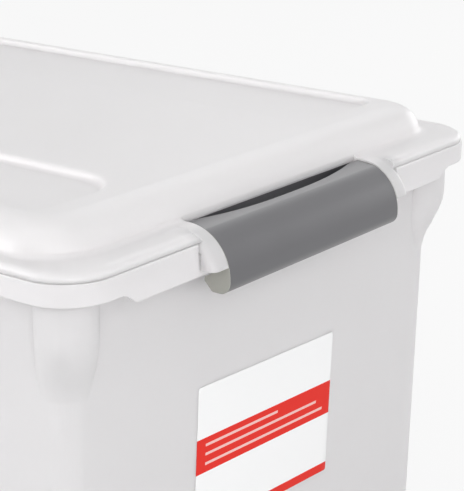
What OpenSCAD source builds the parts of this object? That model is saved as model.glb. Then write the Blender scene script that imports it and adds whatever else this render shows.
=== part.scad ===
// Portable file box: a moulded tote with built-in hanging-file rails, a lid with
// two stacking tracks, a hinged latch at each end and four glide discs underneath.
// Millimetres. The origin is under the middle of the box, on the surface it stands
// on. X runs across the width, Y along the length, and the label is on the -Y end.

/* [Overall size] */
// Width over the rim
rim_w = 347; // [320:1:400]
// Length over both latches
overall_l = 444; // [420:1:560]
// Height from the glide discs to the lid top
overall_h = 281; // [250:1:340]
// Thickness of the moulded walls of tote and lid
wall = 2; // [1.6:0.1:2.4]

/* [Tote walls] */
// Draft of the walls, in degrees
draft = 1.2; // [0.6:0.1:1.8]
// Radius of the upright corners
wall_corner_r = 12; // [9:1:15]
// Radius of the bottom edge
base_edge_r = 6; // [4:0.5:8]
// Step from the side wall out to the collar
side_step = 7.3; // [6.8:0.1:8.5]
// Step from the end wall out to the collar
end_step = 11.9; // [10:0.1:14]

/* [Rim] */
// Radius of the rim corners
rim_corner_r = 27; // [23:1:32]
// Width of the flange outside the collar
flange_w = 8.2; // [7:0.1:10]
// Height of the flange skirt
flange_h = 11.3; // [9:0.1:13]
// Depth of the ledge below the top of the flange
ledge_drop = 11.1; // [10:0.1:13]
// Height of the collar above the flange
collar_h = 2.2; // [1.6:0.1:2.2]
// Extra depth of the flange along the end grips
grip_drop = 5.4; // [3:0.1:7]
// Half length of the end grips
grip_half = 128; // [100:1:132]
// Length over which a grip runs out to the flange
grip_runout = 11; // [5:1:12]
// Radius of the rounded flange edges
edge_r = 0.9; // [0.6:0.1:0.9]

/* [Corner posts] */
// Diameter of a post
post_d = 30.2; // [28:0.2:34]
// Set-back of a post from the collar's side face
post_edge = 0.4; // [0.4:0.1:0.8]
// Set-back of a post from the collar's end face
post_set = 2.4; // [1.5:0.1:3]
// Upright part of a post below the ledge
post_upright = 18; // [10:1:26]
// Height over which a post tapers into the wall
post_taper = 42; // [30:1:50]

/* [File rails] */
// How far a rail's inner face stands inside the outside of the wall, 3.7 for letter size
rail_step = 3.7; // [3.5:0.1:8]
// Thickness of a rail
rail_t = 2; // [1.8:0.1:2.6]
// Height of a rail above the ledge
rail_h = 6; // [4.5:0.1:6]
// Distance of a rail's ends from the end walls
rail_end = 33; // [28:1:90]

/* [Lid] */
// Rise of the lid's plateau above its rim
plateau_rise = 15.3; // [12:0.1:18]
// Width of the lid's rim along the sides
side_rim_w = 11.5; // [10.8:0.1:12.5]
// Width of the lid's rim along the ends
end_rim_w = 20.1; // [19.7:0.1:21]
// Width of the slope from rim to plateau
slope_w = 18.4; // [16:0.1:22]
// Corner radius of the plateau
plateau_r = 14; // [12:1:18]
// Corner radius of the slope's foot
foot_r = 30; // [24:1:34]
// How far down the slope its rounded shoulder lies
shoulder_drop = 1.2; // [0.6:0.1:2.4]
// Height of the lid's skirt
lid_skirt_h = 4.3; // [4.2:0.1:5.4]
// Inset of the lid's skirt from the flange
lid_inset = 1; // [0.6:0.1:1.4]
// Depth of the locating rib under the lid
rib_h = 6.2; // [4:0.1:6.4]

/* [Stacking tracks] */
// Depth of a track
track_d = 4; // [3:0.1:5]
// Distance from the middle of the lid to a track's inner wall
track_in = 77; // [70:1:84]
// Crest left between a track and the plateau's edge
track_crest = 2.2; // [1.8:0.1:3]
// Radius of the track's inner corners
track_r = 28; // [20:1:30]

/* [Latch] */
// Length of a latch
latch_l = 146.6; // [120:0.2:150]
// Radius of its rounded back
latch_r = 24; // [23.6:0.1:24.6]
// Thickness of the rounded back
latch_t = 2.6; // [2.2:0.1:2.7]
// Thickness of the upright wall
latch_wall_t = 4.4; // [3.6:0.1:4.6]
// Height of the straight part under the rounded back
latch_drop = 8.2; // [7.6:0.1:9]
// Reach of the hook inwards from the latch's outer face
hook_reach = 15.8; // [14:0.1:16]
// Depth of the curved finger scoop in the top edge
scoop_d = 11.8; // [10:0.1:12.4]
// Width of the flat along the latch's top edge
flat_w = 13; // [12:0.1:14]
// Slope of that flat, in degrees
flat_slope = 6; // [5:0.5:7]

/* [Hinge] */
// Distance of the hinge axis outside the foot of the slope
hinge_out = 3; // [3:0.1:3.4]
// Depth of the hinge axis below the lid's rim
hinge_down = 3.6; // [3.5:0.1:3.7]
// Radius of the knuckles
knuckle_r = 3.2; // [3:0.1:3.3]
// Radius of the hinge pins
pin_r = 2; // [1.6:0.1:2.1]
// Width of the lid's hollow ears beside the latch
ear_w = 11; // [8:0.5:14]
// Thickness of the ear's cheek that carries the pin
cheek_t = 2.2; // [2:0.1:3]
// How far an ear stands proud of the latch
ear_proud = 0.5; // [0.3:0.1:1]
// Rounding of an ear's outer edge
ear_edge_r = 2; // [1:0.2:3]

/* [Glide discs] */
// Diameter of a glide disc
disc_d = 42; // [34:1:48]
// Height of a disc under the base
disc_h = 5; // [4.6:0.1:6]
// Distance of the discs' centres from the end walls
disc_end = 51; // [48:1:80]
// Radius of the stem that snaps into the base
stem_r = 4; // [3:0.1:5]
// Length of the stem
stem_l = 4; // [3:0.1:5]

/* [Label] */
// Width of the label
label_w = 118; // [60:1:130]
// Height of the label
label_h = 83; // [50:1:100]
// Thickness of the label
label_t = 0.3; // [0.2:0.05:0.4]
// Distance from the flange down to the label
label_drop = 78; // [50:1:90]
// Distance of the label's middle from the box's middle
label_x = -2.5; // [-20:0.5:20]
// Turn of the label on the wall, in degrees
label_tilt = -2.2; // [-5:0.1:5]

/* [Clearances] */
// Gap between the lid and the tote where they seat
seat_gap = 0.3; // [0.2:0.05:0.4]
// Gap between the locating rib and the collar
rib_gap = 0.4; // [0.3:0.05:0.6]
// Radial clearance of a hinge pin in its bore
pin_gap = 0.06; // [0.03:0.01:0.1]
// Gap between the moving latch and the lid's walls
swing_gap = 0.3; // [0.25:0.05:0.4]
// Gap between a latch's ends and the cheeks
side_gap = 0.4; // [0.3:0.05:0.6]

/* [Hidden] */
$fn = 96;
corner_steps = 10;
bend_steps = 4;
slope_steps = 8;
overlap = 1;

// How far the latch reaches out from the foot of the slope
arc_out = 5;
latch_reach = arc_out + latch_r;
foot_y = overall_l / 2 - latch_reach;
rim_x = rim_w / 2;
rim_y = foot_y + end_rim_w;

// Levels
top_z = overall_h;
rim_z = top_z - plateau_rise;
shelf_z = rim_z - lid_skirt_h - seat_gap;
ledge_z = shelf_z - ledge_drop;
flange_z = shelf_z - flange_h;
grip_z = flange_z - grip_drop;
base_z = disc_h;
floor_z = base_z + wall;

// Half sizes of the collar and of the walls at the ledge
collar_x = rim_x - flange_w;
collar_y = rim_y - flange_w;
collar_r = rim_corner_r - flange_w;
wall_x = collar_x - side_step;
wall_y = collar_y - end_step;

// Half sizes of the lid's foot and crest
foot_x = rim_x - side_rim_w;
crest_x = foot_x - slope_w;
crest_y = foot_y - slope_w;
lid_x = rim_x - lid_inset;
lid_y = rim_y - lid_inset;
lid_r = rim_corner_r - lid_inset;

// Latch bay: the pocket in the lid's rim and the saddle in the tote's rim below it
bay_half = latch_l / 2 + side_gap;
bay_back = swing_gap + knuckle_r - hinge_out;
bay_floor = hinge_down + knuckle_r + 2 * swing_gap;
bay_out = end_rim_w - 3.1;
saddle_z = rim_z - bay_floor - wall - seat_gap;
saddle_half = bay_half + ear_w + 1;
grip_end = min(grip_half, rim_x - rim_corner_r - grip_runout - 1);
hook_seat = 1.2;
hook_clear = 0.3;

track_out_x = crest_x - track_crest;
track_out_y = crest_y - track_crest;
disc_x = (track_in + track_out_x) / 2;
disc_y = wall_y - disc_end;
rail_l = 2 * (wall_y - rail_end);
stem_gap = 0.05;

// How far the draft has drawn the walls in at height z
function drawn(z) = (ledge_z - z) * tan(draft);

// One rounded rectangle of points: half sizes, corner radius and height, about [ox, oy]
function ring(v, ox = 0, oy = 0) = [
    for (corner = [0 : 3], step = [0 : corner_steps])
        let (a = 90 * corner + 90 * step / corner_steps,
             sx = (corner == 0 || corner == 3) ? 1 : -1,
             sy = (corner < 2) ? 1 : -1)
        [ox + sx * (v[0] - v[2]) + v[2] * cos(a), oy + sy * (v[1] - v[2]) + v[2] * sin(a), v[3]]
];

// A rounded bend at v on the way from a to b, that starts and ends c from v
function toward(v, p, c) = v + (p - v) * c / norm([p[0] - v[0], p[3] - v[3]]);
function bend(a, v, b, c) = [
    for (i = [0 : bend_steps])
        let (t = i / bend_steps, s = toward(v, a, c), e = toward(v, b, c))
        s * (1 - t) * (1 - t) + v * 2 * t * (1 - t) + e * t * t
];

// A solid through a list of equal rings, closed at both ends
module loft(rings) {
    n = len(rings[0]);
    m = len(rings);
    polyhedron(
        points = [for (r = rings) each r],
        faces = concat(
            [[for (i = [0 : n - 1]) i]],
            [for (j = [0 : m - 2], i = [0 : n - 1])
                [j * n + i, (j + 1) * n + i, (j + 1) * n + (i + 1) % n, j * n + (i + 1) % n]],
            [[for (i = [n - 1 : -1 : 0]) (m - 1) * n + i]]));
}

// An upright block with rounded corners, between two heights
module block(half_x, half_y, r, z0, z1) {
    translate([0, 0, z0]) linear_extrude(z1 - z0) union() {
        square([2 * (half_x - r), 2 * half_y], center = true);
        square([2 * half_x, 2 * (half_y - r)], center = true);
        for (x = [-1, 1], y = [-1, 1]) translate([x * (half_x - r), y * (half_y - r)]) circle(r);
    }
}

// Places its children at the rear end and, turned round, at the front end
module both_ends() {
    children();
    rotate([0, 0, 180]) children();
}

// Extrudes an end profile along X; its x is the distance out from the lid's foot
// and its y the height above the lid's rim
module across(half) {
    translate([-half, foot_y, rim_z]) rotate([90, 0, 90]) linear_extrude(2 * half) children();
}

// Outside and inside of the drafted walls, with a rounded bottom edge
function shell(inset, z0, z1, edge) =
    let (at0 = drawn(z0) + inset,
         low = [wall_x - at0, wall_y - at0, wall_corner_r - inset, z0],
         mid = [low[0] - edge, low[1] - edge, wall_corner_r - inset - edge / 2, z0],
         high = [wall_x - drawn(z1) - inset, wall_y - drawn(z1) - inset, wall_corner_r - inset, z1])
    [for (v = concat(bend([mid[0] - 1, mid[1] - 1, mid[2], z0], low, high, edge), [high])) ring(v)];

// How far a post has been drawn into the wall, for each part of its taper
post_draw = [[0, 0], [0.07, 0.015], [0.18, 0.06], [0.28, 0.17], [0.5, 0.48], [0.63, 0.7],
             [0.73, 0.81], [0.84, 0.89], [1, 1]];

// A round corner post as rings: upright below the ledge, then drawn into the walls
function post(inset, top) =
    let (knee = ledge_z - post_upright,
         sunk = drawn(knee - post_taper) + 0.7,
         shrink = 2.4)
    [for (s = concat([[(knee - top) / post_taper, 0]], post_draw))
        let (r = post_d / 2 - shrink * s[1] - inset,
             x = collar_x - post_edge - (side_step - post_edge + sunk) * s[1] - inset,
             y = collar_y - post_set - (end_step - post_set + sunk) * s[1] - inset)
        ring([r, r, r - 0.2, knee - post_taper * s[0]], x - r, y - r)];

module four_posts(inset, top) {
    rings = post(inset, top);
    upward = [for (i = [len(rings) - 1 : -1 : 0]) rings[i]];
    for (mx = [0, 1], my = [0, 1]) mirror([mx, 0, 0]) mirror([0, my, 0]) loft(upward);
}

// The flange: a shelf with a skirt, its outer edges rounded
module flange() {
    outer = [rim_x, rim_y, rim_corner_r];
    function at(inset, z) = ring([outer[0] - inset, outer[1] - inset, outer[2] - inset, z]);
    difference() {
        loft([at(edge_r * 0.8, flange_z), at(edge_r * 0.2, flange_z + edge_r * 0.4),
              at(0, flange_z + edge_r), at(0, shelf_z - edge_r),
              at(edge_r * 0.3, shelf_z - edge_r * 0.3), at(edge_r, shelf_z)]);
        block(rim_x - wall, rim_y - wall, rim_corner_r - wall, flange_z - overlap, shelf_z - wall);
        block(collar_x - wall, collar_y - wall, collar_r - wall, ledge_z, shelf_z + overlap);
    }
}

// The deeper lip along each end, with a rounded edge and run-outs in a smooth double curve
module grip() {
    outline = concat([[-grip_end - grip_runout, flange_z + 1]],
                     [for (t = [0 : 0.125 : 1])
                         [-grip_end - grip_runout * (1 - t), flange_z - grip_drop * (1 - cos(180 * t)) / 2]]);
    mirrored = [for (i = [len(outline) - 1 : -1 : 0]) [-outline[i][0], outline[i][1]]];
    difference() {
        translate([0, rim_y, 0]) rotate([90, 0, 0]) linear_extrude(wall) polygon(concat(outline, mirrored));
        translate([0, rim_y, grip_z]) grip_edge();
        translate([0, rim_y - wall, grip_z]) mirror([0, 1, 0]) grip_edge();
    }
}

// What is taken off to round one long edge of the grip
module grip_edge() {
    rotate([0, 90, 0]) linear_extrude(2 * rim_x, center = true) difference() {
        translate([-edge_r, -edge_r]) square([2 * edge_r, 2 * edge_r]);
        translate([-edge_r, -edge_r]) circle(edge_r);
    }
}

// Webs that tie the grip to the collar
module grip_webs() {
    for (x = [-grip_end, -saddle_half, 0, saddle_half, grip_end])
        translate([x - wall / 2, collar_y - wall / 2, flange_z + 1])
            cube([wall, flange_w - wall / 2, saddle_z - flange_z - 1 - wall / 2]);
}

// Lowered part of the end rim under the latch: what is removed, then what closes it
module saddle_cut() {
    translate([-saddle_half, collar_y - wall - overlap, saddle_z])
        cube([2 * saddle_half, 2 * overlap + flange_w + wall, shelf_z + collar_h + overlap - saddle_z]);
}

module saddle() {
    deep = flange_w + wall;
    back = collar_y - wall;
    translate([-saddle_half - wall, back, saddle_z - wall]) cube([2 * (saddle_half + wall), deep - edge_r, wall]);
    for (side = [-1, 1])
        translate([side * (saddle_half + wall / 2) - wall / 2, back, saddle_z - wall])
            cube([wall, deep - edge_r, shelf_z - saddle_z + wall]);
}

// Shallow seat in the grip's edge, where the hook comes under it
module hook_seat_cut() {
    half = latch_l / 2 + side_gap;
    translate([-half, rim_y - wall - overlap, grip_z - overlap]) cube([2 * half, wall + 2 * overlap, overlap + hook_seat]);
}

// A file rail: a rib that grows out of the wall and stands up from the ledge
module rail() {
    inner = wall_x - rail_step;
    outer = inner + rail_t;
    root = wall_x - wall / 2;
    tip = ledge_z + rail_h;
    translate([0, rail_l / 2, 0]) rotate([90, 0, 0]) linear_extrude(rail_l)
        polygon([[root, ledge_z - 14], [inner, ledge_z - 3], [inner, tip - 0.6], [inner + 0.6, tip],
                 [outer - 0.6, tip], [outer, tip - 0.6], [outer, ledge_z - wall / 2], [root, ledge_z - wall / 2]]);
}

// Boss over a glide disc's socket
module disc_boss() {
    cylinder(r = stem_r + 2 * wall, h = stem_l + wall);
}

module at_discs() {
    for (x = [-1, 1], y = [-1, 1]) translate([x * disc_x, y * disc_y, 0]) children();
}

module tote() {
    color("whitesmoke") difference() {
        union() {
            difference() {
                union() {
                    loft(shell(0, base_z, ledge_z - wall / 2, base_edge_r));
                    four_posts(0, ledge_z - wall / 2);
                    block(collar_x, collar_y, collar_r, ledge_z - wall, shelf_z + collar_h);
                    flange();
                    both_ends() {
                        grip();
                        grip_webs();
                    }
                }
                loft(shell(wall, floor_z, ledge_z + overlap, base_edge_r - wall));
                four_posts(wall, ledge_z + overlap);
                block(collar_x - wall, collar_y - wall, collar_r - wall, ledge_z,
                      shelf_z + collar_h + overlap);
                both_ends() {
                    saddle_cut();
                    hook_seat_cut();
                }
            }
            both_ends() saddle();
            for (side = [0, 1]) mirror([side, 0, 0]) rail();
            at_discs() translate([0, 0, base_z + wall / 2]) disc_boss();
        }
        at_discs() translate([0, 0, base_z - overlap]) cylinder(r = stem_r + stem_gap, h = stem_l + 0.2 + overlap);
    }
}

// The lid's convex slope between two parts of its way from crest c over shoulder k to foot f,
// w below its surface
function slope(c, k, f, w, t0, t1) = [
    for (i = [0 : slope_steps])
        let (t = t0 + (t1 - t0) * i / slope_steps,
             p = c * (1 - t) * (1 - t) + k * 2 * t * (1 - t) + f * t * t,
             d = (k - c) * (1 - t) + (f - k) * t,
             n = w / norm([d[0], d[3]]))
        [p[0] + n * d[3], p[1] + n * d[3], p[2] + n * d[3], p[3] - n * d[0]]
];

// Sheet of the lid: underside outwards, down the skirt, then up over rim and slope
module lid_sheet() {
    skirt_z = rim_z - lid_skirt_h;
    inner_x = lid_x - wall;
    inner_y = lid_y - wall;
    out = slope_w * 0.826;
    top_c = [crest_x, crest_y, plateau_r, top_z];
    top_k = [crest_x + out, crest_y + out, plateau_r + (foot_r - plateau_r) * 0.6, top_z - shoulder_drop];
    top_f = [foot_x, foot_y, foot_r, rim_z];
    steep = atan((plateau_rise - shoulder_drop) / (slope_w - out));
    lean = wall * tan(steep / 2);
    top_e = [lid_x, lid_y, lid_r, rim_z];
    top_s = [lid_x, lid_y, lid_r, skirt_z];
    mid_c = [crest_x - 12, crest_y - 12, plateau_r - 4, top_z];
    low_f = top_f - [lean, lean, lean, wall];
    low_e = [inner_x, inner_y, lid_r - wall, rim_z - wall];
    low_s = [inner_x, inner_y, lid_r - wall, skirt_z];
    low_m = mid_c - [0, 0, 0, wall];
    path = concat([low_m], slope(top_c, top_k, top_f, wall, 0, 0.88),
                  bend(low_f + top_k - top_f, low_f, low_e, 1.4),
                  bend(low_f, low_e, low_s, 1), [low_s, top_s], bend(top_s, top_e, top_f, 3),
                  bend(top_e, top_f, top_k, 2.4), slope(top_c, top_k, top_f, 0, 0.88, 0), [mid_c]);
    loft([for (v = path) ring(v)]);
}

// Plan of a stacking track on the +X side: small outer corners, large inner ones
module track_plan(grow) {
    out_r = plateau_r - track_crest + grow;
    in_r = track_r + grow;
    x0 = track_in - grow;
    x1 = track_out_x + grow;
    y1 = track_out_y + grow;
    union() {
        translate([x0 + in_r, -y1]) square([x1 - x0 - in_r - out_r, 2 * y1]);
        translate([x0, -(y1 - in_r)]) square([in_r + overlap, 2 * (y1 - in_r)]);
        translate([x1 - out_r - overlap, -(y1 - out_r)]) square([out_r + overlap, 2 * (y1 - out_r)]);
        for (y = [-1, 1]) {
            translate([x0 + in_r, y * (y1 - in_r)]) circle(in_r);
            translate([x1 - out_r, y * (y1 - out_r)]) circle(out_r);
        }
    }
}

module tracks(grow, z0, z1) {
    for (side = [0, 1]) mirror([side, 0, 0]) translate([0, 0, z0]) linear_extrude(z1 - z0) track_plan(grow);
}

// Rib under the lid that drops inside the tote's collar
module locating_rib() {
    x = collar_x - wall - rib_gap;
    y = collar_y - wall - rib_gap;
    r = collar_r - wall - rib_gap;
    z0 = rim_z - wall - rib_h;
    difference() {
        block(x, y, r, z0, rim_z - wall / 2);
        block(x - wall, y - wall, r - wall, z0 - overlap, rim_z);
    }
}

// Pocket in the end rim that the latch lies in
module bay_cut() {
    translate([-bay_half, foot_y - bay_back, rim_z - bay_floor])
        cube([2 * bay_half, 2 * end_rim_w, bay_floor + wall + 0.6]);
}

// Clears the rim's skirt over the saddle
module bay_front_cut() {
    translate([-bay_half, foot_y + bay_out, rim_z - bay_floor - 2 * wall])
        cube([2 * bay_half, end_rim_w, bay_floor + 3 * wall]);
}

module bay_walls() {
    half = bay_half + ear_w;
    low = rim_z - bay_floor - wall;
    translate([-half, foot_y - bay_back - wall, low]) cube([2 * half, wall + bay_back + bay_out, wall]);
    translate([-half, foot_y - bay_back - wall, low]) cube([2 * half, wall, bay_floor + wall]);
}

// Region of the end profile that an ear may fill: above the saddle, then in front of the flange
module ear_region() {
    skirt_clear = end_rim_w + 0.6;
    bottom = bay_floor + wall;
    tail = latch_r - 6.2;
    translate([-bay_back - wall / 2, -bottom]) square([skirt_clear + bay_back + wall, bottom + overlap]);
    translate([skirt_clear, -tail]) square([latch_r, tail + overlap]);
}

// Section of an ear, turned about the centre of the latch's round back: cheek, skin and outer side
module ear_section() {
    r = latch_r + ear_proud;
    low = latch_r / 2;
    edge = ear_edge_r;
    difference() {
        polygon([[low, 0], [r - 0.3, 0], [r, 0.3], [r, ear_w - edge], [r - 0.13 * edge, ear_w - 0.5 * edge],
                 [r - 0.5 * edge, ear_w - 0.13 * edge], [r - edge, ear_w], [low, ear_w]]);
        polygon([[low - overlap, cheek_t], [r - wall, cheek_t], [r - wall, ear_w - edge],
                 [r - edge, ear_w - wall], [low - overlap, ear_w - wall]]);
    }
}

// One hollow ear at the +X end of a bay
module ear() {
    translate([bay_half, foot_y, rim_z]) {
        intersection() {
            translate([0, arc_out, -latch_r]) rotate([0, 90, 0]) rotate_extrude($fn = 144) ear_section();
            rotate([90, 0, 90]) linear_extrude(ear_w) ear_region();
        }
        translate([0, -bay_back - wall / 2, -wall]) cube([ear_w, arc_out + bay_back + wall / 2, wall + ear_proud]);
    }
}

// Bores for the hinge pins, through both cheeks and the sheet over them
module pin_bores() {
    for (side = [0, 1]) mirror([side, 0, 0])
        translate([bay_half - overlap, foot_y + hinge_out, rim_z - hinge_down]) rotate([0, 90, 0])
            cylinder(r = pin_r + pin_gap, h = cheek_t + 2 * overlap);
}

module ears() {
    for (side = [0, 1]) mirror([side, 0, 0]) ear();
}

// What the ears' round backs take off the rim, as far as their outer edges are rounded
module ear_cut() {
    half = bay_half + ear_w - 0.6 * ear_edge_r;
    translate([0, foot_y, rim_z]) difference() {
        translate([-half, arc_out, -bay_floor - 2 * wall]) cube([2 * half, 2 * end_rim_w, bay_floor + 3 * wall]);
        translate([-half - overlap, arc_out, -latch_r]) rotate([0, 90, 0])
            cylinder(r = latch_r + ear_proud - wall / 2, h = 2 * (half + overlap), $fn = 144);
    }
}

module lid() {
    color("white") difference() {
        union() {
            difference() {
                union() {
                    lid_sheet();
                    tracks(wall, top_z - track_d - wall, top_z - wall / 2);
                    locating_rib();
                }
                tracks(0, top_z - track_d, top_z + overlap);
                both_ends() {
                    bay_cut();
                    bay_front_cut();
                    ear_cut();
                }
            }
            both_ends() {
                bay_walls();
                ears();
            }
        }
        both_ends() pin_bores();
    }
}

// Section of the latch: knuckle, sloping flat, rounded back, wall and hook
module latch_section() {
    c = [arc_out, -latch_r];
    axis = [hinge_out, -hinge_down];
    start = axis + knuckle_r * [sin(flat_slope), cos(flat_slope)];
    face = arc_out + latch_r;
    low = -latch_r - latch_drop;
    grip_low = grip_z + hook_seat - rim_z;
    swing = norm([end_rim_w, grip_low] - axis) + hook_clear;
    lip_in = face - hook_reach;
    function lip(u) = axis[1] - sqrt(swing * swing - (u - axis[0]) * (u - axis[0]));
    union() {
        translate(axis) circle(knuckle_r);
        difference() {
            union() {
                intersection() {
                    difference() {
                        translate(c) circle(latch_r, $fn = 144);
                        translate(c) circle(latch_r - latch_t, $fn = 144);
                    }
                    translate(c) square(2 * latch_r);
                }
                polygon([axis, start, [flat_w, start[1]], [flat_w, start[1] - latch_t - 0.8], [axis[0], axis[1] + 0.6]]);
            }
            polygon([start, start + 40 * [cos(flat_slope), -sin(flat_slope)], [60, 20], [start[0], 20]]);
        }
        polygon([[face - latch_wall_t, c[1] + 3], [face - latch_t, c[1] + 8], [face - latch_t / 2, c[1]], [face, c[1]],
                 [face, low + 2.5], [face - 0.8, low + 0.9], [face - 2.6, low],
                 [lip_in + 5, low], [lip_in, low + 5.2], [lip_in + 0.4, lip(lip_in + 0.4)],
                 for (u = [lip_in + 2 : 1.4 : end_rim_w]) [u, lip(u)], [face - latch_wall_t, lip(end_rim_w) + 0.4]]);
    }
}

// Curved scoop along the top edge; the flat bar behind it joins the knuckles
module scoop() {
    half = latch_l / 2;
    r = (half * half + scoop_d * scoop_d) / (2 * scoop_d);
    bar = 1.6;
    intersection() {
        translate([0, foot_y + scoop_d - r, rim_z - 2 * knuckle_r - 2]) cylinder(r = r, h = 2 * knuckle_r + 4, $fn = 360);
        translate([-half, foot_y + bar, rim_z - 2 * knuckle_r - 2]) cube([latch_l, latch_r, 2 * knuckle_r + 4]);
    }
}

module latch() {
    half = latch_l / 2;
    difference() {
        across(half) latch_section();
        scoop();
    }
    reach = half + side_gap + cheek_t - 0.3;
    translate([-reach, foot_y + hinge_out, rim_z - hinge_down]) rotate([0, 90, 0]) cylinder(r = pin_r, h = 2 * side_gap + 8);
    translate([reach, foot_y + hinge_out, rim_z - hinge_down]) rotate([0, -90, 0]) cylinder(r = pin_r, h = 2 * side_gap + 8);
}

module latch_rear() {
    color("dimgray") latch();
}

module latch_front() {
    color("dimgray") rotate([0, 0, 180]) latch();
}

// A glide disc: a low dome that slides in the tracks, and its stem
module glide_disc(x, y) {
    r = disc_d / 2;
    color("lightgray") translate([x * disc_x, y * disc_y, 0]) rotate_extrude()
        polygon([[0, 0], [r - 7, 0], [r - 4, 0.3], [r - 1.6, 1.3], [r - 0.3, 2.9], [r, 4], [r, disc_h],
                 [stem_r, disc_h], [stem_r, disc_h + stem_l - 0.6], [stem_r - 0.6, disc_h + stem_l], [0, disc_h + stem_l]]);
}

module glide_disc_front_left() {
    glide_disc(-1, -1);
}

module glide_disc_front_right() {
    glide_disc(1, -1);
}

module glide_disc_rear_left() {
    glide_disc(-1, 1);
}

module glide_disc_rear_right() {
    glide_disc(1, 1);
}

// The label lies on the drafted front wall
module label() {
    z = flange_z - label_drop - label_h / 2;
    color("white") translate([label_x, -(wall_y - drawn(z)), z]) rotate([90 + draft, 0, 0])
        rotate([0, 0, label_tilt]) linear_extrude(label_t) union() {
            r = 5;
            square([label_w - 2 * r, label_h], center = true);
            square([label_w, label_h - 2 * r], center = true);
            for (x = [-1, 1], y = [-1, 1]) translate([x * (label_w / 2 - r), y * (label_h / 2 - r)]) circle(r);
        }
}

tote();
lid();
latch_front();
latch_rear();
glide_disc_front_left();
glide_disc_front_right();
glide_disc_rear_left();
glide_disc_rear_right();
label();
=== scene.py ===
from math import atan, cos, pi, radians, sin, sqrt

import bmesh
import bpy
from mathutils import Matrix, Vector


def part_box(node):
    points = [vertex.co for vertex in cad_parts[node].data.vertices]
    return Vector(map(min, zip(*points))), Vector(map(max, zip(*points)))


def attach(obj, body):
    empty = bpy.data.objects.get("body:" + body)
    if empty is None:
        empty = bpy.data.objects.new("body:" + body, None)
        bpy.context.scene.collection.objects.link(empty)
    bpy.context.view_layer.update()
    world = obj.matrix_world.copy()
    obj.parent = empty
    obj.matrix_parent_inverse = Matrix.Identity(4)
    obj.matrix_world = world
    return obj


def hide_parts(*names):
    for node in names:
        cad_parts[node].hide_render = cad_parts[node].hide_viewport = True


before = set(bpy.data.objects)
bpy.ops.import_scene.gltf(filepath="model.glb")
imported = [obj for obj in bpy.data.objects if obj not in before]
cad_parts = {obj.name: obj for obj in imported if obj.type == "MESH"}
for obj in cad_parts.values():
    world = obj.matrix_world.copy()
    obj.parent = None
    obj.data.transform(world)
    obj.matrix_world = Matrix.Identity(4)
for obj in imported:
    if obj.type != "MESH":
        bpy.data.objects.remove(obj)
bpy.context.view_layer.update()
mm = 0.001
weld = 2e-6  # metres


# Helpers for solids. Sizes are in millimetres.

def linkObject(name, data):
    item = bpy.data.objects.new(name, data)
    bpy.context.scene.collection.objects.link(item)
    return item


def addObject(name, bm, material, smoothAngle=32):
    mesh = bpy.data.meshes.new(name)
    bm.to_mesh(mesh)
    bm.free()
    mesh.materials.append(material)
    mesh.shade_smooth()
    mesh.set_sharp_from_angle(angle=radians(smoothAngle))
    return linkObject(name, mesh)


def weighNormals(piece):
    weighted = piece.modifiers.new("flat faces stay flat", "WEIGHTED_NORMAL")
    weighted.keep_sharp = True
    weighted.weight = 60
    return piece


def evaluatedMesh(piece):
    graph = bpy.context.evaluated_depsgraph_get()
    return bpy.data.meshes.new_from_object(piece.evaluated_get(graph), depsgraph=graph)


def joinSolids(first, second, operation):  # takes two bmeshes, gives one
    meshes = []
    for bm in (first, second):
        mesh = bpy.data.meshes.new("cutting")
        bm.to_mesh(mesh)
        bm.free()
        meshes.append(mesh)
    body, tool = linkObject("cutBody", meshes[0]), linkObject("cutTool", meshes[1])
    cut = body.modifiers.new("cut", "BOOLEAN")
    cut.operation = operation
    cut.solver = "MANIFOLD"
    cut.object = tool
    bpy.context.view_layer.update()
    result = evaluatedMesh(body)
    out = bmesh.new()
    out.from_mesh(result)
    for item in (body, tool):
        bpy.data.objects.remove(item)
    for mesh in meshes + [result]:
        bpy.data.meshes.remove(mesh)
    return out


def outwardFaces(bm):
    bmesh.ops.recalc_face_normals(bm, faces=bm.faces)
    return bm


def skinRings(bm, rings, closed=False):  # quads between equal rings; gives the rows of vertices
    rows = [[bm.verts.new(Vector(p) * mm) for p in ring] for ring in rings]
    n = len(rows[0])
    for low, high in zip(rows, rows[1:] + rows[:1] if closed else rows[1:]):
        for i in range(n):
            bm.faces.new((low[i], low[(i + 1) % n], high[(i + 1) % n], high[i]))
    return rows


def prism(start, end):  # a solid between two equal closed outlines
    bm = bmesh.new()
    for row in skinRings(bm, (start, end)):
        bm.faces.new(row)
    return outwardFaces(bm)


def extrudeAcross(outline, x0, x1):  # an outline in (Y, Z), drawn along X
    return prism(*([(x, y, z) for y, z in outline] for x in (x0, x1)))


def extrudeAlong(outline, y0, y1):  # an outline in (X, Z), drawn along Y
    return prism(*([(x, y, z) for x, z in outline] for y in (y0, y1)))


def extrudeUp(outline, z0, z1):  # an outline in (X, Y), drawn along Z
    return prism(*([(x, y, z) for x, y in outline] for z in (z0, z1)))


def boxSolid(low, high):
    bm = bmesh.new()
    bmesh.ops.create_cube(bm, size=1)
    for v in bm.verts:
        v.co = Vector([(low[i] if v.co[i] < 0 else high[i]) * mm for i in range(3)])
    return outwardFaces(bm)


def turnedSolid(section, centre, steps=144):  # a closed section of (radius, x), turned about an X axis
    rings = []
    for k in range(steps):
        a = 2 * pi * k / steps
        rings.append([(x, centre[0] + r * cos(a), centre[1] + r * sin(a)) for r, x in section])
    bm = bmesh.new()
    skinRings(bm, rings, closed=True)
    return outwardFaces(bm)


def arcPoints(centre, radius, start, end, steps):  # angles in degrees
    turns = [radians(start + (end - start) * k / steps) for k in range(steps + 1)]
    return [(centre[0] + radius * cos(a), centre[1] + radius * sin(a)) for a in turns]


def roundOutline(centre, radius, sides=48):  # the closed outline of a pin or bore
    return arcPoints(centre, radius, 0, 360 - 360 / sides, sides - 1)


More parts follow.
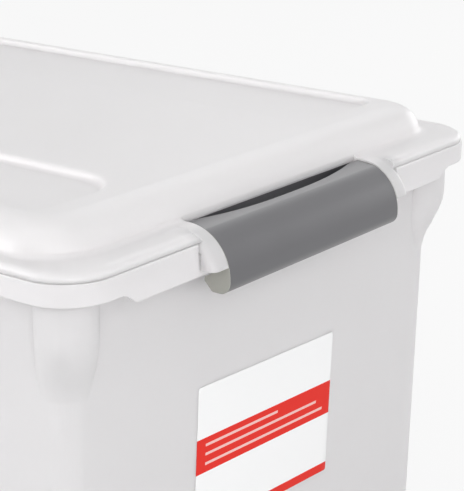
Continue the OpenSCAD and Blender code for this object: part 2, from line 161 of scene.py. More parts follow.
def roundedRing(halfX, halfY, radius, z, steps):
    ring = []
    for corner in range(4):
        sx = 1 if corner in (0, 3) else -1
        sy = 1 if corner < 2 else -1
        for i in range(steps + 1):
            a = radians(90 * (corner + i / steps))
            ring.append((sx * (halfX - radius) + radius * cos(a), sy * (halfY - radius) + radius * sin(a), z))
    return ring


def bendProfile(stops):  # stops: (halfX, halfY, radius, z, reach back, reach on, steps)
    out = []
    for i, stop in enumerate(stops):
        here = Vector(stop[:4])
        back, on, steps = stop[4:]
        if not steps:
            out.append(here)
            continue
        before, after = Vector(stops[i - 1][:4]), Vector(stops[i + 1][:4])

        def towards(other, reach):
            gap = sqrt((other[0] - here[0]) ** 2 + (other[3] - here[3]) ** 2) or (other - here).length
            return here + (other - here) * (reach / gap)

        start, end = towards(before, back), towards(after, on)
        for k in range(steps + 1):
            t = k / steps
            out.append(start * (1 - t) ** 2 + here * 2 * t * (1 - t) + end * t * t)
    return out


def fillBetween(bm, rows, up):
    edges = []
    for row in rows:
        n = len(row)
        edges += [bm.edges.get((row[i], row[(i + 1) % n])) for i in range(n)]
    bmesh.ops.triangle_fill(bm, use_beauty=True, use_dissolve=False, edges=edges, normal=up)


def weldFlat(bm, angle):  # joins corners that meet and drops the edges inside flat faces
    bmesh.ops.remove_doubles(bm, verts=bm.verts, dist=weld)
    bmesh.ops.dissolve_limit(bm, angle_limit=radians(angle), verts=bm.verts, edges=bm.edges)


def turnHalf(bm):
    bmesh.ops.rotate(bm, verts=bm.verts, cent=(0, 0, 0), matrix=Matrix.Rotation(pi, 3, "Z"))
    return bm


# Helpers for materials.

def newMaterial(name):
    material = bpy.data.materials.new(name)
    material.use_nodes = True
    tree = material.node_tree
    shader = next(n for n in tree.nodes if n.type == "BSDF_PRINCIPLED")
    return material, tree, shader


def objectPlace(tree):
    return tree.nodes.new("ShaderNodeTexCoord").outputs["Object"]


def mathNode(tree, operation, *values):  # values: numbers or sockets
    node = tree.nodes.new("ShaderNodeMath")
    node.operation = operation
    for socket, value in zip(node.inputs, values):
        if isinstance(value, (int, float)):
            socket.default_value = value
        else:
            tree.links.new(value, socket)
    return node.outputs["Value"]


def sizeAlong(tree, place, axis):  # distance from the object's middle plane
    split = tree.nodes.new("ShaderNodeSeparateXYZ")
    tree.links.new(place, split.inputs["Vector"])
    return mathNode(tree, "ABSOLUTE", split.outputs[axis])


def noiseNode(tree, place, scale):
    noise = tree.nodes.new("ShaderNodeTexNoise")
    noise.inputs["Scale"].default_value = scale
    tree.links.new(place, noise.inputs["Vector"])
    return noise.outputs["Fac"]


def mixColours(tree, factor, under, over):  # colours or sockets
    mix = tree.nodes.new("ShaderNodeMix")
    mix.data_type = "RGBA"
    for name, value in (("A", under), ("B", over)):
        if isinstance(value, tuple):
            mix.inputs[name].default_value = (*value, 1)
        else:
            tree.links.new(value, mix.inputs[name])
    tree.links.new(factor, mix.inputs["Factor"])
    return mix.outputs["Result"]


def unevenColour(tree, noise, colour, depth):
    darker = tuple(c * (1 - depth) for c in colour)
    paler = tuple(min(1, c * (1 + depth)) for c in colour)
    return mixColours(tree, noise, darker, paler)


def unevenRoughness(tree, shader, noise, middle, spread):
    rough = tree.nodes.new("ShaderNodeMapRange")
    rough.inputs["To Min"].default_value = middle - spread
    rough.inputs["To Max"].default_value = middle + spread
    tree.links.new(noise, rough.inputs["Value"])
    tree.links.new(rough.outputs["Result"], shader.inputs["Roughness"])


def addGrain(tree, shader, place, scale, depth):  # fine grain of a mould or of paper
    bump = tree.nodes.new("ShaderNodeBump")
    bump.inputs["Distance"].default_value = depth
    tree.links.new(noiseNode(tree, place, scale), bump.inputs["Height"])
    tree.links.new(bump.outputs["Normal"], shader.inputs["Normal"])


# Milky plastic of tote and lid. Round the latch bays and ears the lid's colour is darkened, a painted shade.

milky = {
    "bodyColour": (0.87, 0.845, 0.855), "lidColour": (0.84, 0.815, 0.82), "roughness": 0.37,
    "roughSpread": 0.05, "bending": 1.49, "clearness": 0.12, "glowDepth": 0.004,
    "cloudScale": 9, "cloudDepth": 0.03, "grainScale": 1400, "grainDepth": 0.000012,
    # painted shade: a darker lid colour, faded in round the latch bays and their ears
    "earShadeColour": (0.66, 0.65, 0.655), "earShadeFades": {"X": (92, 84), "Y": (199, 207)},
}


def milkyPlastic(name, colour, paintEarShade=False):
    material, tree, shader = newMaterial(name)
    place = objectPlace(tree)
    clouds = noiseNode(tree, place, milky["cloudScale"])  # slow unevenness of the moulded sheet
    tint = unevenColour(tree, clouds, colour, milky["cloudDepth"])
    # painted shade: the lid's colour darkened round the latch bays and ears
    if paintEarShade:
        masks = []
        for axis, (start, end) in milky["earShadeFades"].items():
            fade = tree.nodes.new("ShaderNodeMapRange")
            fade.inputs["From Min"].default_value = start * mm
            fade.inputs["From Max"].default_value = end * mm
            tree.links.new(sizeAlong(tree, place, axis), fade.inputs["Value"])
            masks.append(fade.outputs["Result"])
        tint = mixColours(tree, mathNode(tree, "MULTIPLY", *masks), tint, milky["earShadeColour"])
    tree.links.new(tint, shader.inputs["Base Color"])
    addGrain(tree, shader, place, milky["grainScale"], milky["grainDepth"])
    unevenRoughness(tree, shader, clouds, milky["roughness"], milky["roughSpread"])
    shader.inputs["IOR"].default_value = milky["bending"]
    shader.inputs["Transmission Weight"].default_value = milky["clearness"]
    shader.inputs["Subsurface Weight"].default_value = 1
    shader.inputs["Subsurface Radius"].default_value = (1, 1, 1)
    shader.inputs["Subsurface Scale"].default_value = milky["glowDepth"]
    return material


# Grey plastic of latches and discs. A latch's flat end faces are painted paler, a painted reflection of the
# light from the left.

latchFinish = {
    "colour": (0.066, 0.065, 0.072), "roughness": 0.33, "shine": 0.9, "bending": 1.6,
    # painted reflection: the paler colour of a latch's flat end faces
    "ends": (0.36, 0.36, 0.32), "endsFrom": 73.05,
}
discFinish = {"colour": (0.55, 0.55, 0.56), "roughness": 0.4, "shine": 0.5, "bending": 1.49}
greyMoulding = {
    "flowScale": 35, "flowDepth": 0.05, "roughSpread": 0.04, "grainScale": 900, "grainDepth": 0.00001,
}


def greyPlastic(name, finish):
    material, tree, shader = newMaterial(name)
    place = objectPlace(tree)
    addGrain(tree, shader, place, greyMoulding["grainScale"], greyMoulding["grainDepth"])
    flow = noiseNode(tree, place, greyMoulding["flowScale"])  # faint flow marks of the moulding
    tint = unevenColour(tree, flow, finish["colour"], greyMoulding["flowDepth"])
    # painted reflection: a latch's flat end faces painted paler
    if "ends" in finish:
        beyond = mathNode(tree, "GREATER_THAN", sizeAlong(tree, place, "X"), finish["endsFrom"] * mm)
        tint = mixColours(tree, beyond, tint, finish["ends"])
    tree.links.new(tint, shader.inputs["Base Color"])
    shader.inputs["Specular IOR Level"].default_value = finish["shine"]
    shader.inputs["IOR"].default_value = finish["bending"]
    unevenRoughness(tree, shader, flow, finish["roughness"], greyMoulding["roughSpread"])
    return material


bodyPlastic = milkyPlastic("milkyBodyPlastic", milky["bodyColour"])
lidPlastic = milkyPlastic("milkyLidPlastic", milky["lidColour"], paintEarShade=True)
latchPlastic = greyPlastic("greyLatchPlastic", latchFinish)
discPlastic = greyPlastic("paleDiscPlastic", discFinish)
print("materials made")


# Sizes shared by lid and latches, in millimetres. X and Y are measured from the middle of the box.

rim = {
    "x": 173.5, "y": 213.1, "radius": 27, "z": 265.7, "wall": 2,
    "footX": 162, "footY": 193, "footRadius": 30,  # where the lid's slope meets the flat rim
    "crestX": 143.6, "crestY": 174.6, "crestRadius": 14, "top": 281,  # where the slope meets the top
}
hinge = {"out": 3, "down": 3.6, "knuckle": 3.2, "pin": 2, "bore": 2.06}
hair = 0.02  # keeps the faces of two joined solids out of one plane
past = 1  # how far a cutting solid runs past what it cuts


# Tote: the frame's body, merged and smoothed.

def makeTote():
    bm = bmesh.new()
    bm.from_mesh(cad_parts["tote"].data)
    weldFlat(bm, 0.3)
    piece = weighNormals(addObject("toteShell", bm, bodyPlastic))
    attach(piece, "tote")
    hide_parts("tote")
    print("tote:", len(piece.data.polygons), "faces")


# Lid: one moulded sheet with two tracks, and at each end a bay for the latch between two ears.

lid = {
    "inset": 0.75, "skirt": 4.5, "edge": 3.4, "footBend": 2.6, "cornerSteps": 18,
    "skirtEdge": 0.15, "innerEdge": 0.4, "skirtRoot": 0.8, "underFoot": 1.6, "underBend": (0.8, 1.2),
    "topLap": 0.5, "underLap": 0.4,
    "shoulderOut": 15.2, "shoulderDrop": 1.2, "shoulderSwell": 0.6, "slopeSteps": 14, "slopeEnd": 0.88,
    "ribOutside": (162.9, 202.5, 16.4), "ribInside": (161.3, 200.7, 14.8), "ribDrop": 6.2,
}
track = {
    "inner": 77, "innerRadius": 28, "innerGentler": 2.2, "crestGap": 2.2, "endGap": 13, "depth": 4,
    "lip": ((1.5, 0), (1.15, 0.04), (0.75, 0.2), (0.4, 0.5), (0.18, 0.95), (0, 1.5)),  # grow, below the top
    "foot": ((-0.15, 1.6), (-0.32, 0.95), (-0.62, 0.45), (-1.05, 0.14), (-1.6, 0)),  # grow, above the floor
    "tray": 0.9, "trayFoot": 0.6,
}
bay = {"half": 73.7, "back": 0.5, "floor": 7.4, "out": 17, "frontDrop": 4, "above": 8, "beyond": 60}
ear = {
    "width": 11.7, "proud": 0.5, "cut": 9.8, "edge": 4.5, "soft": 0.3, "cheek": 2.2, "inner": 12,
    "clear": 20.7, "tail": 6.2, "front": 44.7, "skinDepth": 1,
    "blendFrom": 3, "blendDepth": 4.4, "blendIn": 1.5, "blendLap": 0.4, "blendSteps": 6,
}


def trackRing(side, grow, z, steps=10):
    x0 = track["inner"] - track["innerGentler"] * grow
    x1 = rim["crestX"] - track["crestGap"] + grow
    y1 = rim["crestY"] - track["endGap"] + grow
    outer = rim["crestRadius"] - track["crestGap"] + grow
    inner = track["innerRadius"] + grow
    corners = [(x1 - outer, y1 - outer, outer, 0), (x0 + inner, y1 - inner, inner, 90),
               (x0 + inner, inner - y1, inner, 180), (x1 - outer, outer - y1, outer, 270)]
    ring = []
    for cx, cy, r, start in corners:
        ring += [(side * x, y, z) for x, y in arcPoints((cx, cy), r, start, start + 90, steps)]
    return ring if side > 0 else ring[::-1]


def slopeStops(depth):  # the convex slope from crest to foot, at a depth below its surface
    out = lid["shoulderOut"]
    swell = (rim["footRadius"] - rim["crestRadius"]) * lid["shoulderSwell"]
    crest = Vector((rim["crestX"], rim["crestY"], rim["crestRadius"], rim["top"]))
    shoulder = crest + Vector((out, out, swell, -lid["shoulderDrop"]))
    foot = Vector((rim["footX"], rim["footY"], rim["footRadius"], rim["z"]))
    stops = []
    for i in range(lid["slopeSteps"] + 1):
        t = lid["slopeEnd"] * i / lid["slopeSteps"]
        p = crest * (1 - t) ** 2 + shoulder * 2 * t * (1 - t) + foot * t * t
        run = (shoulder - crest) * (1 - t) + (foot - shoulder) * t
        n = depth / sqrt(run[0] ** 2 + run[3] ** 2)
        stops.append(p + Vector((n * run[3], n * run[3], n * run[3], -n * run[0])))
    return stops


def shrunk(stop, amount):
    return stop - Vector((amount, amount, amount, 0))


def lidStops():  # the sheet's section from the top's edge, round the skirt and back underneath
    wall = rim["wall"]
    x, y, r = (rim[size] - lid["inset"] for size in ("x", "y", "radius"))
    fx, fy, fr = rim["footX"], rim["footY"], rim["footRadius"]
    low, under = rim["z"] - lid["skirt"], rim["z"] - wall
    ribLow, soft, inner = under - lid["ribDrop"], lid["innerEdge"], lid["underFoot"]
    outside, inside = slopeStops(0), slopeStops(wall)
    stops = [(*p, 0, 0, 0) for p in [shrunk(outside[0], lid["topLap"])] + outside]
    stops += [
        (fx, fy, fr, rim["z"], lid["footBend"], lid["footBend"], 6),
        (x, y, r, rim["z"], lid["edge"], lid["edge"], 8),
        (x, y, r, low, lid["skirtEdge"], lid["skirtEdge"], 2),
        (x - wall, y - wall, r - wall, low, soft, soft, 2),
        (x - wall, y - wall, r - wall, under, lid["skirtRoot"], lid["skirtRoot"], 2),
        (*lid["ribOutside"], under, 0, 0, 0),
        (*lid["ribOutside"], ribLow, soft, soft, 2),
        (*lid["ribInside"], ribLow, soft, soft, 2),
        (*lid["ribInside"], under, 0, 0, 0),
        (fx - inner, fy - inner, fr - inner, under, *lid["underBend"], 3),
    ]
    return stops + [(*p, 0, 0, 0) for p in inside[::-1] + [shrunk(inside[0], lid["underLap"])]]


def makeLidSheet():
    bm = bmesh.new()
    rows = skinRings(bm, [roundedRing(*stop, lid["cornerSteps"]) for stop in bendProfile(lidStops())])
    topLoops, underLoops = [rows[0]], [rows[-1]]
    top = rim["top"]
    floor = top - track["depth"]
    under = floor - rim["wall"]
    groove = [(grow, top - below) for grow, below in track["lip"]]
    groove += [(grow, floor + above) for grow, above in track["foot"]]
    tray = [(track["tray"], top - rim["wall"]), (track["tray"], under + track["trayFoot"]),
            (track["tray"] - track["trayFoot"], under)]
    for side in (1, -1):
        for shape, loops in ((groove, topLoops), (tray, underLoops)):
            walls = skinRings(bm, [trackRing(side, grow, z) for grow, z in shape])
            loops.append(walls[0])
            bm.faces.new(walls[-1])
    fillBetween(bm, topLoops, (0, 0, 1))
    fillBetween(bm, underLoops, (0, 0, -1))
    bmesh.ops.remove_doubles(bm, verts=bm.verts, dist=weld)
    return outwardFaces(bm)


def makeBayTools():  # what the +Y bay takes off the rim, and what it puts back
    foot, top, wall = rim["footY"], rim["z"], rim["wall"]
    half, wide = bay["half"], bay["half"] + ear["width"]
    back, floor = foot - bay["back"], top - bay["floor"]
    beyond, above = foot + bay["beyond"], top + bay["above"]
    cuts = [boxSolid((-half, back, floor), (half, beyond, top + lid["footBend"])),
            boxSolid((-half, foot + bay["out"], floor - bay["frontDrop"]), (half, beyond, above))]
    centre = (foot + latch["centreOut"], top - latch["round"])
    ring = arcPoints(centre, latch["round"] + ear["proud"] - ear["skinDepth"], 90, 0, 24)
    outside = [(centre[0], above), (beyond, above), (beyond, centre[1])] + ring[::-1]
    inEdge = half + ear["cut"]
    cuts.append(extrudeAcross(outside, -inEdge, inEdge))
    low = floor - wall
    adds = [boxSolid((-wide, back - wall, low), (wide, foot + bay["out"], floor)),
            boxSolid((-wide, back - wall, low), (wide, back, top - hair))]
    return cuts, adds


def turnedWithin(section, axis, outline, x0, x1):  # a turned section, kept inside an outline in (Y, Z)
    return joinSolids(turnedSolid(section, axis), extrudeAcross(outline, x0 - past, x1 + past), "INTERSECT")


def makeEar(side):  # hollow quarter-round ear beside a latch, blended into the rim
    foot, top, wall = rim["footY"], rim["z"], rim["wall"]
    x0, x1 = bay["half"], bay["half"] + ear["width"]
    outer = latch["round"] + ear["proud"]
    edge, soft = ear["edge"], ear["soft"]
    turn = x1 - edge
    axis = (foot + latch["centreOut"], top - latch["round"])

    # the shell round the latch's end
    skin = [(outer - soft, x0), (outer, x0 + soft)] + arcPoints((outer - edge, turn), edge, 0, 90, 9)
    section = [(ear["inner"], x0)] + skin
    section += [(ear["inner"], x1), (ear["inner"], x1 - wall), (outer - edge, x1 - wall),
                (outer - wall, turn), (outer - wall, x0 + ear["cheek"]), (ear["inner"], x0 + ear["cheek"])]
    clear, front, tail = foot + ear["clear"], foot + ear["front"], axis[1] + ear["tail"]
    low, back, above = top - bay["floor"] - wall, foot - bay["back"] - past, top + past
    region = [(back, low), (clear, low), (clear, tail), (front, tail), (front, above), (back, above)]
    solid = turnedWithin(section, axis, region, x0, x1)

    # its straight run back over the bay's wall
    strip = [(x, axis[1] + r) for r, x in skin if r > outer - wall]
    strip = [(x0, top - wall)] + strip + [(strip[-1][0], top - wall)]
    solid = joinSolids(solid, extrudeAlong(strip, back, axis[0]), "UNION")

    # the hollow blend up to the rim's rounded edge
    face, crown = rim["y"] - lid["inset"] - hair, top - hair
    start, under, bend = foot + ear["blendFrom"], crown - ear["blendDepth"], lid["edge"]
    shape = [(start, under), (start, crown)]
    for k in range(ear["blendSteps"] + 1):
        t = k / ear["blendSteps"]
        shape.append((face - bend * (1 - t) ** 2, crown - bend * t * t))
    shape.append((face, under))
    inside = outer - ear["blendIn"]
    hollow = [(inside, turn - ear["blendLap"]), (outer - hair, turn)]
    hollow += [(outer - hair + edge * (1 - cos(radians(a))), turn + (edge - hair) * sin(radians(a)))
               for a in range(10, 91, 10)]
    hollow.append((inside, x1 - hair))
    solid = joinSolids(solid, turnedWithin(hollow, axis, shape, turn, x1), "UNION")
    if side < 0:
        bmesh.ops.scale(solid, vec=(-1, 1, 1), verts=solid.verts)
        bmesh.ops.reverse_faces(solid, faces=solid.faces)
    return solid


def makeLid():
    bm = makeLidSheet()
    axle = (rim["footY"] + hinge["out"], rim["z"] - hinge["down"])
    for turned in (False, True):
        cuts, adds = makeBayTools()
        adds += [makeEar(1), makeEar(-1)]
        bores = []
        for side in (1, -1):
            ends = sorted((side * (bay["half"] - past), side * (bay["half"] + ear["cheek"] + past)))
            bores.append(extrudeAcross(roundOutline(axle, hinge["bore"]), *ends))
        for tools, operation in ((cuts, "DIFFERENCE"), (adds, "UNION"), (bores, "DIFFERENCE")):
            for tool in tools:
                bm = joinSolids(bm, turnHalf(tool) if turned else tool, operation)
    bmesh.ops.remove_doubles(bm, verts=bm.verts, dist=weld)
    piece = weighNormals(addObject("lidSheet", bm, lidPlastic, smoothAngle=36))
    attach(piece, "lid")
    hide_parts("lid")
    print("lid:", len(piece.data.polygons), "faces")


# Latches: a section drawn across the box, with a scoop in its top edge and a pin at each end.

latch = {
    "half": 73.3, "centreOut": 5, "round": 24, "thick": 2.6, "wallThick": 4.4, "drop": 8.2, "heel": 6.5,
    "flatSlope": 6, "flatEnd": 13.3, "insideArc": (16, 68), "knuckleArc": (-8, -270), "edge": 0.35,
    "hookReach": 15.8, "hookBevel": 5.4, "lipSpots": (0.3, 2, 3.6, 5.2, 6.9), "swing": 24.06,
    "scoop": 9.4, "scoopBow": 2.6, "scoopSteps": 60, "scoopLow": 8.4, "scoopHigh": 5,
    "bar": 1.6, "barEase": 1.2, "pinReach": 2.3, "pinRoot": 3,
}


def latchOutline():  # (out from the slope's foot, height above the rim) round the section
    axle = (hinge["out"], -hinge["down"])
    slope = radians(latch["flatSlope"])
    centre = (latch["centreOut"], -latch["round"])
    face = latch["centreOut"] + latch["round"]
    inWall = face - latch["wallThick"]
    low = -latch["round"] - latch["drop"]
    lipIn = face - latch["hookReach"]
    bevel, heel = latch["hookBevel"], latch["heel"]

    def lip(u):  # the hook's upper side, an arc about the hinge so that it swings clear
        return axle[1] - sqrt(latch["swing"] ** 2 - (u - axle[0]) ** 2)

    lipSide = [(lipIn + u, lip(lipIn + u)) for u in latch["lipSpots"]]
    flat = latch["flatEnd"] - centre[0]
    fromUp = 180 / pi * atan(flat / sqrt(latch["round"] ** 2 - flat ** 2))
    points = [(axle[0] + hinge["knuckle"] * sin(slope), axle[1] + hinge["knuckle"] * cos(slope))]
    points += arcPoints(centre, latch["round"], 90 - fromUp, 0, 30)
    points += arcPoints((face - heel, low + heel), heel, 0, -90, 12)
    points += [(lipIn + bevel, low), (lipIn + bevel - 0.8, low + 0.3)]  # with its two corners eased
    points += [(lipIn + 0.3, low + bevel - 0.7), (lipIn, low + bevel)]
    points += lipSide
    points += [(inWall - 0.5, lipSide[-1][1] + 0.4), (inWall, latch["wallThick"] - latch["round"])]
    points += arcPoints(centre, latch["round"] - latch["thick"], *latch["insideArc"], 20)
    points += [(axle[0] + hinge["knuckle"] - hair, axle[1] + 0.34)]  # where it meets the knuckle
    points += arcPoints(axle, hinge["knuckle"], *latch["knuckleArc"], 24)
    return points


def makeScoop():  # a shallow bow, seen from above
    foot, top, half = rim["footY"], rim["z"], latch["half"]
    edge = foot + latch["bar"]
    steps = latch["scoopSteps"]
    bow = []
    for k in range(steps + 1):
        x = -half + 2 * half * k / steps
        bow.append((x, foot + latch["scoop"] * (1 - abs(x / half) ** latch["scoopBow"])))
    bow = [p for p in bow if p[1] > edge]
    plan = [(bow[0][0] - latch["barEase"], edge)] + bow + [(bow[-1][0] + latch["barEase"], edge)]
    return extrudeUp(plan, top - latch["scoopLow"], top + latch["scoopHigh"])


def makeLatch(name, turned):
    foot, top, half = rim["footY"], rim["z"], latch["half"]
    bm = extrudeAcross([(foot + u, top + w) for u, w in latchOutline()], -half, half)
    bm = joinSolids(bm, makeScoop(), "DIFFERENCE")
    axle = (foot + hinge["out"], top - hinge["down"])
    for side in (1, -1):
        ends = sorted((side * (half - latch["pinRoot"]), side * (half + latch["pinReach"])))
        bm = joinSolids(bm, extrudeAcross(roundOutline(axle, hinge["pin"]), *ends), "UNION")
    weldFlat(bm, 0.2)
    if turned:
        turnHalf(bm)
    piece = addObject(name, bm, latchPlastic, smoothAngle=30)
    soft = piece.modifiers.new("soft edges", "BEVEL")
    soft.width = latch["edge"] * mm
    soft.segments = 2
    soft.limit_method = "ANGLE"
    soft.angle_limit = radians(40)
    soft.harden_normals = False
    weighNormals(piece)
    body = "latch_front" if turned else "latch_rear"
    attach(piece, body)
    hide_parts(body)
    print(name, len(piece.data.polygons), "faces")


# Glide discs: one turned disc set on the base's four places. The dome lists (in from the edge, height).

discs = {
    "x": 109.2, "y": 142, "radius": 21, "height": 5, "stem": 4, "stemTop": 9, "stemEdge": 0.6, "steps": 64,
    "dome": ((7, 0), (4, 0.3), (2.6, 0.75), (1.6, 1.3), (0.8, 2.05), (0.3, 2.9), (0.05, 3.6), (0, 4.2)),
}


def discPattern():
    r, high = discs["radius"], discs["height"]
    stem, top, soft = discs["stem"], discs["stemTop"], discs["stemEdge"]
    middle = 0.001  # the ring round each pole closes when its corners are joined
    section = [(middle, 0)] + [(r - inward, z) for inward, z in discs["dome"]]
    section += [(r, high), (stem, high), (stem, top - soft), (stem - soft, top), (middle, top)]
    bm = bmesh.new()
    steps = discs["steps"]
    turns = [2 * pi * k / steps for k in range(steps)]
    rows = [[bm.verts.new(Vector((d * cos(a), d * sin(a), z)) * mm) for d, z in section] for a in turns]
    for here, after in zip(rows, rows[1:] + rows[:1]):
        for i in range(len(section) - 1):
            bm.faces.new((here[i], after[i], after[i + 1], here[i + 1]))
    bmesh.ops.remove_doubles(bm, verts=bm.verts, dist=3 * middle * mm)
    return addObject("discPattern", outwardFaces(bm), discPlastic, smoothAngle=40)


def discPlaces():  # a tree that sets a disc on the four corners of a grid
    tree = bpy.data.node_groups.new("discPlaces", "GeometryNodeTree")
    for name, kind in (("Disc", "Object"), ("Across", "Float"), ("Along", "Float"), ("Finish", "Material")):
        tree.interface.new_socket(name, in_out="INPUT", socket_type="NodeSocket" + kind)
    tree.interface.new_socket("Geometry", in_out="OUTPUT", socket_type="NodeSocketGeometry")
    nodes, links = tree.nodes, tree.links
    entry, leave = nodes.new("NodeGroupInput"), nodes.new("NodeGroupOutput")
    grid = nodes.new("GeometryNodeMeshGrid")
    grid.inputs["Vertices X"].default_value = 2
    grid.inputs["Vertices Y"].default_value = 2
    links.new(entry.outputs["Across"], grid.inputs["Size X"])
    links.new(entry.outputs["Along"], grid.inputs["Size Y"])
    source = nodes.new("GeometryNodeObjectInfo")
    links.new(entry.outputs["Disc"], source.inputs["Object"])
    spread = nodes.new("GeometryNodeInstanceOnPoints")
    links.new(grid.outputs["Mesh"], spread.inputs["Points"])
    links.new(source.outputs["Geometry"], spread.inputs["Instance"])
    real = nodes.new("GeometryNodeRealizeInstances")
    links.new(spread.outputs["Instances"], real.inputs["Geometry"])
    paint = nodes.new("GeometryNodeSetMaterial")
    links.new(real.outputs["Geometry"], paint.inputs["Geometry"])
    links.new(entry.outputs["Finish"], paint.inputs["Material"])
    links.new(paint.outputs["Geometry"], leave.inputs["Geometry"])
    return tree


def makeDiscs():
    pattern, tree = discPattern(), discPlaces()
    holder = linkObject("discHolder", bpy.data.meshes.new("discHolder"))
    layout = holder.modifiers.new("places", "NODES")
    layout.node_group = tree
    values = {"Disc": pattern, "Across": 2 * discs["x"] * mm, "Along": 2 * discs["y"] * mm,
              "Finish": discPlastic}
    for socket in tree.interface.items_tree:
        if socket.in_out == "INPUT":
            layout[socket.identifier] = values[socket.name]
    bpy.context.view_layer.update()
    piece = linkObject("glideDiscs", evaluatedMesh(holder))
    bpy.data.objects.remove(holder)
    bpy.data.objects.remove(pattern)
    weighNormals(piece)
    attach(piece, "tote")
    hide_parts(*[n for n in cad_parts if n.startswith("glide_disc")])
    print("discs:", len(piece.data.polygons), "faces")


# Label: the frame's own sheet with squarer corners, printed with plain bands.
# Bands and rules are (middle, half) distances from the label's middle, up it and across it.

label = {
    "paper": (0.93, 0.93, 0.93), "red": (0.76, 0.030, 0.020), "rule": (0.90, 0.55, 0.52),
    "tilt": -2.2, "cut": 5, "corner": 1.2, "roughness": 0.5, "shine": 0.15, "fibreScale": 700,
    "fibreDepth": 0.00001, "upperBand": (3.2, 9.7), "lowerBand": ((-40, 3.6), (22, 50)),
    "ruleStart": -52, "ruleHalf": 0.75, "rules": ((8.6, 62), (3.6, 98), (-1.8, 104)),  # up, length
}


def labelAxes():  # across and up the label, which is turned a little in the wall's plane
    turn = radians(label["tilt"])
    return Vector((cos(turn), 0, sin(turn))), Vector((-sin(turn), 0, cos(turn)))


def printedPaper(middle, across, upward):
    material, tree, shader = newMaterial("printedLabelPaper")
    place = objectPlace(tree)

    def distance(axis):  # in mm from the label's middle along an axis
        dot = tree.nodes.new("ShaderNodeVectorMath")
        dot.operation = "DOT_PRODUCT"
        dot.inputs[1].default_value = axis / mm
        tree.links.new(place, dot.inputs[0])
        return mathNode(tree, "SUBTRACT", dot.outputs["Value"], middle.dot(axis) / mm)

    def within(value, span):  # 1 inside the band, 0 outside
        return mathNode(tree, "COMPARE", value, *span)

    sideways, height = distance(across), distance(upward)
    lowHeights, lowSpan = label["lowerBand"]
    lower = mathNode(tree, "MULTIPLY", within(height, lowHeights), within(sideways, lowSpan))
    bands = mathNode(tree, "MAXIMUM", within(height, label["upperBand"]), lower)
    colour = mixColours(tree, bands, label["paper"], label["red"])
    for up, length in label["rules"]:
        heights, span = (up, label["ruleHalf"]), (label["ruleStart"] + length / 2, length / 2)
        rule = mathNode(tree, "MULTIPLY", within(height, heights), within(sideways, span))
        colour = mixColours(tree, rule, colour, label["rule"])
    tree.links.new(colour, shader.inputs["Base Color"])
    shader.inputs["Roughness"].default_value = label["roughness"]
    shader.inputs["Specular IOR Level"].default_value = label["shine"]
    addGrain(tree, shader, place, label["fibreScale"], label["fibreDepth"])
    return material


def squareCorners(bm, middle, across, upward):  # draws the sheet's round corners out to a smaller radius
    spots = [((v.co - middle).dot(across) / mm, (v.co - middle).dot(upward) / mm) for v in bm.verts]
    halfS, halfT = max(abs(s) for s, t in spots), max(abs(t) for s, t in spots)
    old, new = label["cut"], label["corner"]
    ends = sorted((v.co for v in bm.verts), key=lambda spot: spot.z)
    lean = (ends[-1].y - ends[0].y) / (ends[-1].z - ends[0].z)
    for v, (s, t) in zip(bm.verts, spots):
        ds, dt = abs(s) - (halfS - old), abs(t) - (halfT - old)
        if ds < 0 or dt < 0:
            continue
        reach = sqrt(ds * ds + dt * dt)
        moveS = (halfS - new + new * ds / reach - abs(s)) * (1 if s > 0 else -1)
        moveT = (halfT - new + new * dt / reach - abs(t)) * (1 if t > 0 else -1)
        step = (across * moveS + upward * moveT) * mm
        v.co += step + Vector((0, lean * step.z, 0))


def makeLabel():
    low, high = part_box("label")
    middle = (low + high) / 2
    across, upward = labelAxes()
    bm = bmesh.new()
    bm.from_mesh(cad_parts["label"].data)
    bmesh.ops.remove_doubles(bm, verts=bm.verts, dist=weld)
    squareCorners(bm, middle, across, upward)
    piece = addObject("labelSheet", bm, printedPaper(middle, across, upward))
    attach(piece, "tote")
    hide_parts("label")
    print("label printed")


# Stage: pale floor, pale surroundings and soft panels. Places and sizes are in metres, powers in watts.

studio = {
    "floor": (0.57, 0.57, 0.57), "floorRoughness": 0.9, "floorGlow": 0.88, "floorHalf": 6,
    "ambientColour": (0.985, 0.99, 1), "ambient": 0.52, "aim": (0, 0, 0.2),
}
panels = {
    "top": {"place": (-0.3, -0.2, 1.9), "size": (1.6, 1.6), "power": 7},
    "rightBack": {"place": (1.8, 0.75, 1.53), "size": (1.2, 0.8), "power": 3.5},
    "right": {"place": (2.2, -0.35, 0.6), "size": (1.4, 0.8), "power": 10},
    "leftBack": {"place": (-1.6, 1.4, 0.8), "size": (1.4, 1.0), "power": 22},
    "leftFront": {"place": (-1.4, -1.5, 0.9), "size": (1.2, 1.0), "power": 15},
    "front": {"place": (-0.3, -2.2, 0.5), "size": (1.4, 1.0), "power": 9},
}
closeView = {  # place in millimetres, then the directions of the picture's right, up and depth
    "place": (-688.35, -702.12, 510), "right": (0.61396, -0.78934, -0.00183),
    "up": (0.24276, 0.18662, 0.95197), "ahead": (0.75108, 0.58491, -0.30619),
    "lens": 127.49, "sensor": 36, "clipEnd": 50,
}


def seenMask(tree):  # 1 for rays that see floor or world, also by reflection; 0 for rays that it lights
    path = tree.nodes.new("ShaderNodeLightPath")
    seen = mathNode(tree, "MAXIMUM", path.outputs["Is Camera Ray"], path.outputs["Is Transmission Ray"])
    return mathNode(tree, "MAXIMUM", seen, path.outputs["Is Glossy Ray"])


def mixShaders(tree, factor, under, over, surface):
    mix = tree.nodes.new("ShaderNodeMixShader")
    tree.links.new(factor, mix.inputs["Fac"])
    tree.links.new(under, mix.inputs[1])
    tree.links.new(over, mix.inputs[2])
    tree.links.new(mix.outputs["Shader"], surface)


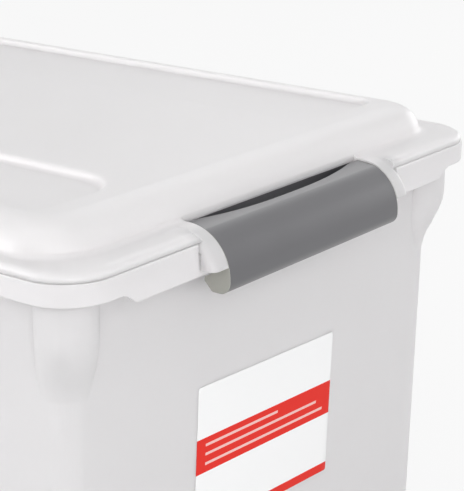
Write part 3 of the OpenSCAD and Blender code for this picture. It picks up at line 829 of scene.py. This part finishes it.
def makeFloor():
    bm = bmesh.new()
    bmesh.ops.create_grid(bm, x_segments=1, y_segments=1, size=studio["floorHalf"])
    material, tree, shader = newMaterial("paleFloor")
    shader.inputs["Base Color"].default_value = (*studio["floor"], 1)
    shader.inputs["Roughness"].default_value = studio["floorRoughness"]
    glow = tree.nodes.new("ShaderNodeEmission")
    part = mathNode(tree, "MULTIPLY", seenMask(tree), studio["floorGlow"])
    out = next(n for n in tree.nodes if n.type == "OUTPUT_MATERIAL")
    mixShaders(tree, part, shader.outputs["BSDF"], glow.outputs["Emission"], out.inputs["Surface"])
    floor = addObject("studioFloor", bm, material)


def makeWorld():
    world = bpy.data.worlds.new("studioWorld")
    bpy.context.scene.world = world
    world.use_nodes = True
    tree = world.node_tree
    tree.nodes.clear()
    out = tree.nodes.new("ShaderNodeOutputWorld")
    ambient = tree.nodes.new("ShaderNodeBackground")
    ambient.inputs["Color"].default_value = (*studio["ambientColour"], 1)
    ambient.inputs["Strength"].default_value = studio["ambient"]
    white = tree.nodes.new("ShaderNodeBackground")
    white.inputs["Color"].default_value = (1, 1, 1, 1)
    mixShaders(tree, seenMask(tree), ambient.outputs["Background"], white.outputs["Background"],
               out.inputs["Surface"])


def addPanel(name, panel):
    lamp = bpy.data.lights.new(name + "Panel", "AREA")
    lamp.shape = "RECTANGLE"
    lamp.size, lamp.size_y = panel["size"]
    lamp.energy = panel["power"]
    holder = linkObject(name + "Panel", lamp)
    holder.location = panel["place"]
    aim = Vector(studio["aim"]) - holder.location
    holder.rotation_euler = aim.to_track_quat("-Z", "Y").to_euler()


def makeCamera():
    data = bpy.data.cameras.new("closeView")
    data.sensor_fit = "VERTICAL"
    data.sensor_height = closeView["sensor"]
    data.lens = closeView["lens"]
    data.clip_end = closeView["clipEnd"]
    camera = linkObject("closeView", data)
    right, up, ahead = (Vector(closeView[name]) for name in ("right", "up", "ahead"))
    turn = Matrix((right, up, -ahead)).transposed().to_4x4()
    camera.matrix_world = Matrix.Translation(Vector(closeView["place"]) * mm) @ turn
    bpy.context.scene.camera = camera


makeCamera()
makeFloor()
makeWorld()
for panelName, panel in panels.items():
    addPanel(panelName, panel)
bpy.context.scene.view_settings.view_transform = "Standard"
print("stage, light and camera made")

makeTote()
makeLid()
makeLatch("latchRear", False)
makeLatch("latchFront", True)
makeDiscs()
makeLabel()
